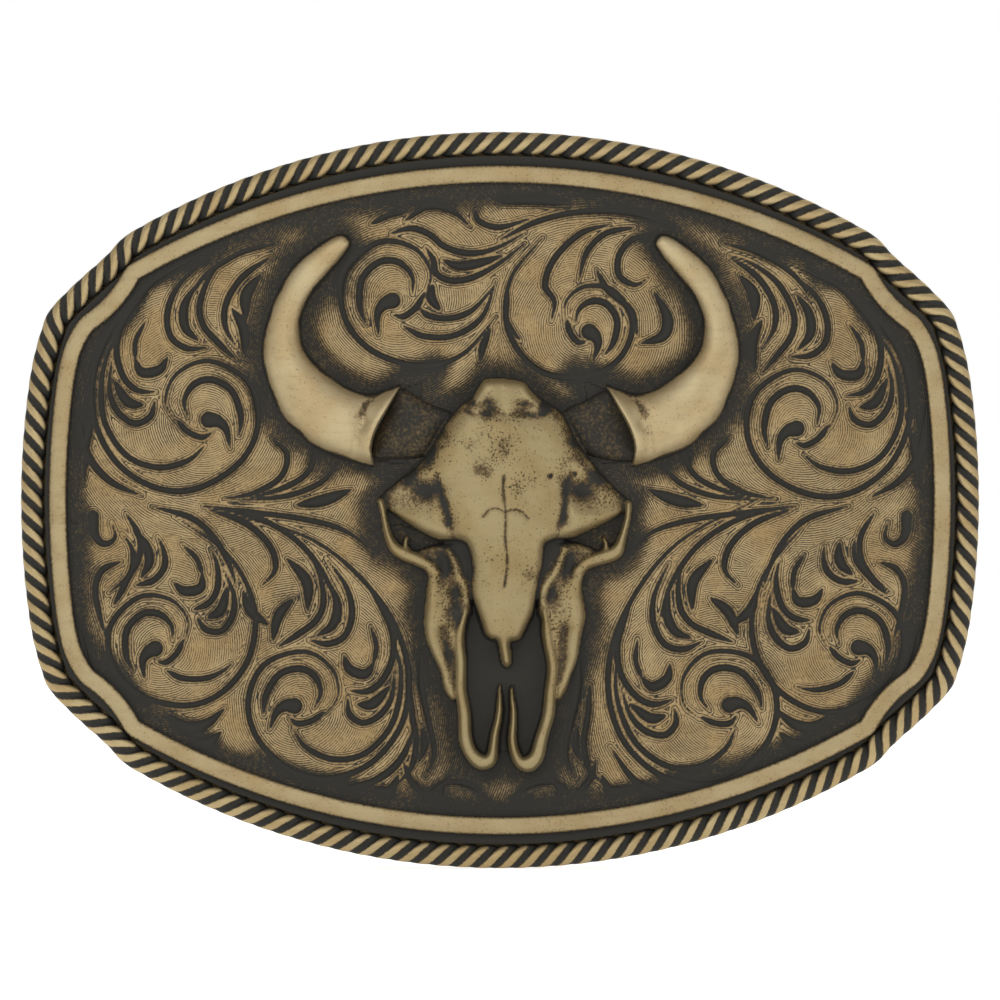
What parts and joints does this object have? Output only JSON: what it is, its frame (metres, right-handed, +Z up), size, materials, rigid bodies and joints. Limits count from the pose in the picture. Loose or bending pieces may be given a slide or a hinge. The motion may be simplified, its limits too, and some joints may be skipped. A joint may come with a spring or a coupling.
{
  "type": "belt buckle",
  "caption": "Bowed oval plaque belt buckle with a rope edge, a raised rail, an engraved scroll field and a bison skull, a swinging wire bail and a hook stud.",
  "frame": {"origin": "middle of the buckle's outline and of its depth", "axes": "the face looks along -Y as worn, +Z is up and +X is to the right of someone looking at the face"},
  "size_m": [0.092, 0.0176, 0.0706],
  "materials": {
    "engraved_brass": "engraved, blackened and relieved",
    "planished_brass": "planished, darkened",
    "rope_brass": "twisted wire, dark between the strands",
    "polished_brass": "relieved to a satin",
    "cast_brass": "cast, blackened and relieved",
    "horn_brass": "cast, relieved to a satin",
    "lug_brass": "stamped, antiqued",
    "rivet_brass": "peened, bright on the heads",
    "wire_brass": "drawn wire, worn satin",
    "turned_brass": "turned, worn bright at the tip"
  },
  "bodies": {
    "buckle": {"face_plate": "engraved_brass", "base_plate": "planished_brass", "rope_edge": "rope_brass", "border_rail": "polished_brass", "skull": "cast_brass", "horn_left": "horn_brass", "horn_right": "horn_brass", "bail_lug_upper": "lug_brass", "bail_lug_lower": "lug_brass", "lug_rivets": "rivet_brass", "hook_pad": "lug_brass", "hook_stud": "turned_brass"},
    "bail": {"bail": "wire_brass"}
  },
  "joints": [
    {"name": "bail_swing", "type": "hinge", "parent": "buckle", "child": "bail", "pos_m": [-0.02, 0.00272, 0], "axis": [0, 0, -1], "range_deg": [0, 190]}
  ]
}
